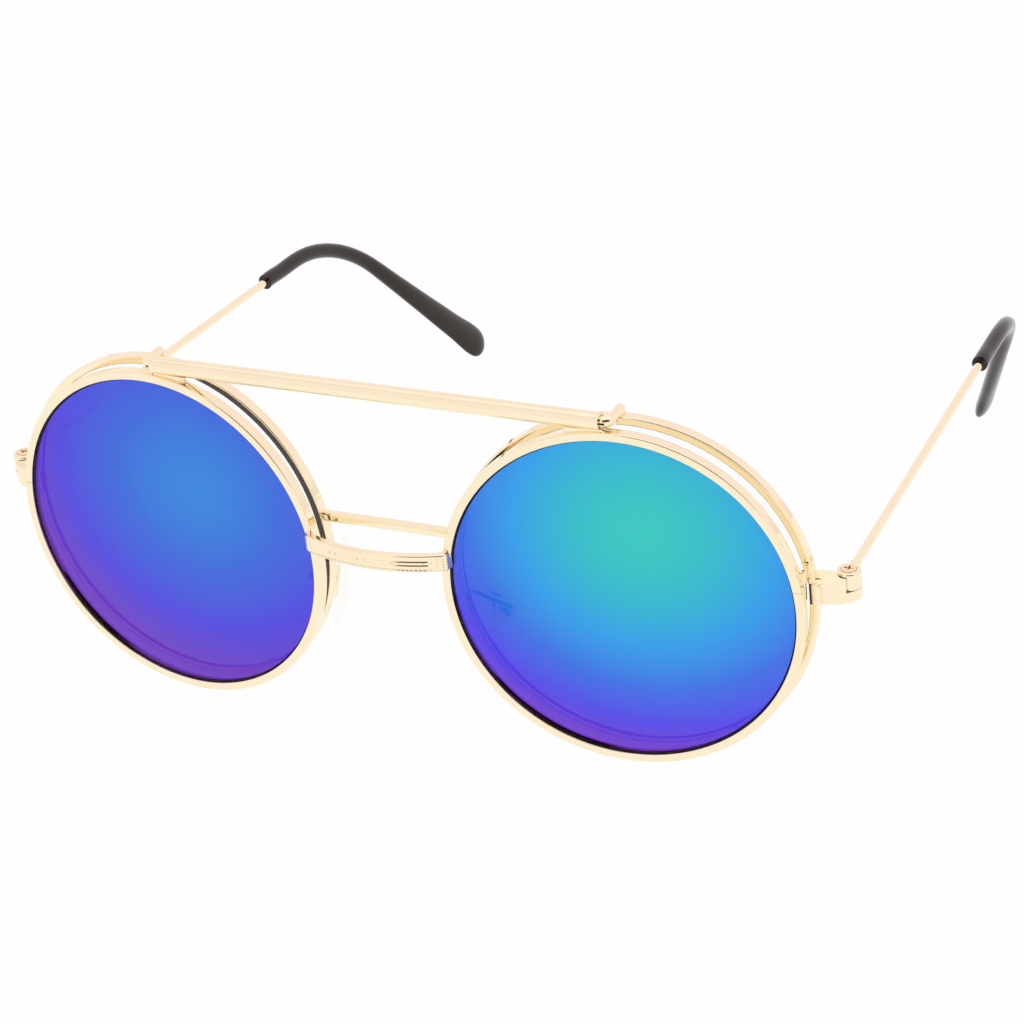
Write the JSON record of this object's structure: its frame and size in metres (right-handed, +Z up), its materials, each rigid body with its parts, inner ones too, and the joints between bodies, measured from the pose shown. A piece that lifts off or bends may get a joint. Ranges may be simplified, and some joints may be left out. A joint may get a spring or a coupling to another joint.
{
  "type": "flip-up sunglasses",
  "caption": "Round metal-rimmed sunglasses with a mirrored front that flips up on a brow-bar hinge in front of clear lenses, with folding wire temples and rocking nose pads.",
  "frame": {"origin": "on the table plane under the middle of the bounding box, temples open and front down", "axes": "+X to the right as seen from the front, +Y from the lenses towards the ears, +Z up"},
  "size_m": [0.1328, 0.1302, 0.0538],
  "materials": {
    "gold": "polished pale gold plating",
    "screw": "polished gold plated screws",
    "mirror_lens": "blue-green to violet mirror coating",
    "clear_lens": "clear polished",
    "tip": "smooth glossy dark",
    "pad": "clear soft silicone"
  },
  "bodies": {
    "chassis": {"rear_rim_right": "gold", "rear_rim_left": "gold", "rear_lens_right": "clear_lens", "rear_lens_left": "clear_lens", "rear_lock_upper_right": "gold", "rear_lock_upper_left": "gold", "rear_lock_lower_right": "gold", "rear_lock_lower_left": "gold", "rear_lock_screws": "screw", "rear_bridge_bar": "gold", "endpiece_right": "gold", "endpiece_left": "gold", "hinge_screws": "screw", "pivot_hook_right": "gold", "pivot_hook_left": "gold", "nose_pad_arm_right": "gold", "nose_pad_arm_left": "gold", "nose_pad_box_right": "gold", "nose_pad_box_left": "gold", "nose_pad_screws": "screw"},
    "flip_front": {"front_rim_right": "gold", "front_rim_left": "gold", "front_lens_right": "mirror_lens", "front_lens_left": "mirror_lens", "front_lock_upper_right": "gold", "front_lock_upper_left": "gold", "front_lock_lower_right": "gold", "front_lock_lower_left": "gold", "front_lock_screws": "screw", "hinge_tube": "gold", "front_bridge": "gold"},
    "temple_left": {"temple_hinge_left": "gold", "temple_wire_left": "gold", "temple_tip_left": "tip"},
    "temple_right": {"temple_hinge_right": "gold", "temple_wire_right": "gold", "temple_tip_right": "tip"},
    "nose_pad_left": {"nose_pad_left": "pad", "nose_pad_stem_left": "gold"},
    "nose_pad_right": {"nose_pad_right": "pad", "nose_pad_stem_right": "gold"}
  },
  "joints": [
    {"name": "flip", "type": "hinge", "parent": "chassis", "child": "flip_front", "pos_m": [0, -0.05945, 0.05253], "axis": [-1, 0, 0], "range_deg": [0, 105]},
    {"name": "temple_fold_left", "type": "hinge", "parent": "chassis", "child": "temple_left", "pos_m": [-0.06475, -0.05025, 0.03065], "axis": [0, 0.0463, -0.9989], "range_deg": [0, 82]},
    {"name": "temple_fold_right", "type": "hinge", "parent": "chassis", "child": "temple_right", "pos_m": [0.06475, -0.05025, 0.03065], "axis": [0, -0.0463, 0.9989], "range_deg": [0, 74]},
    {"name": "pad_rock_left", "type": "hinge", "parent": "chassis", "child": "nose_pad_left", "pos_m": [-0.01429, -0.05203, 0.01813], "axis": [0.4695, -0.882, -0.0408], "range_deg": [-8, 8]},
    {"name": "pad_rock_right", "type": "hinge", "parent": "chassis", "child": "nose_pad_right", "pos_m": [0.01429, -0.05203, 0.01813], "axis": [0.4695, 0.882, 0.0408], "range_deg": [-8, 8]}
  ]
}
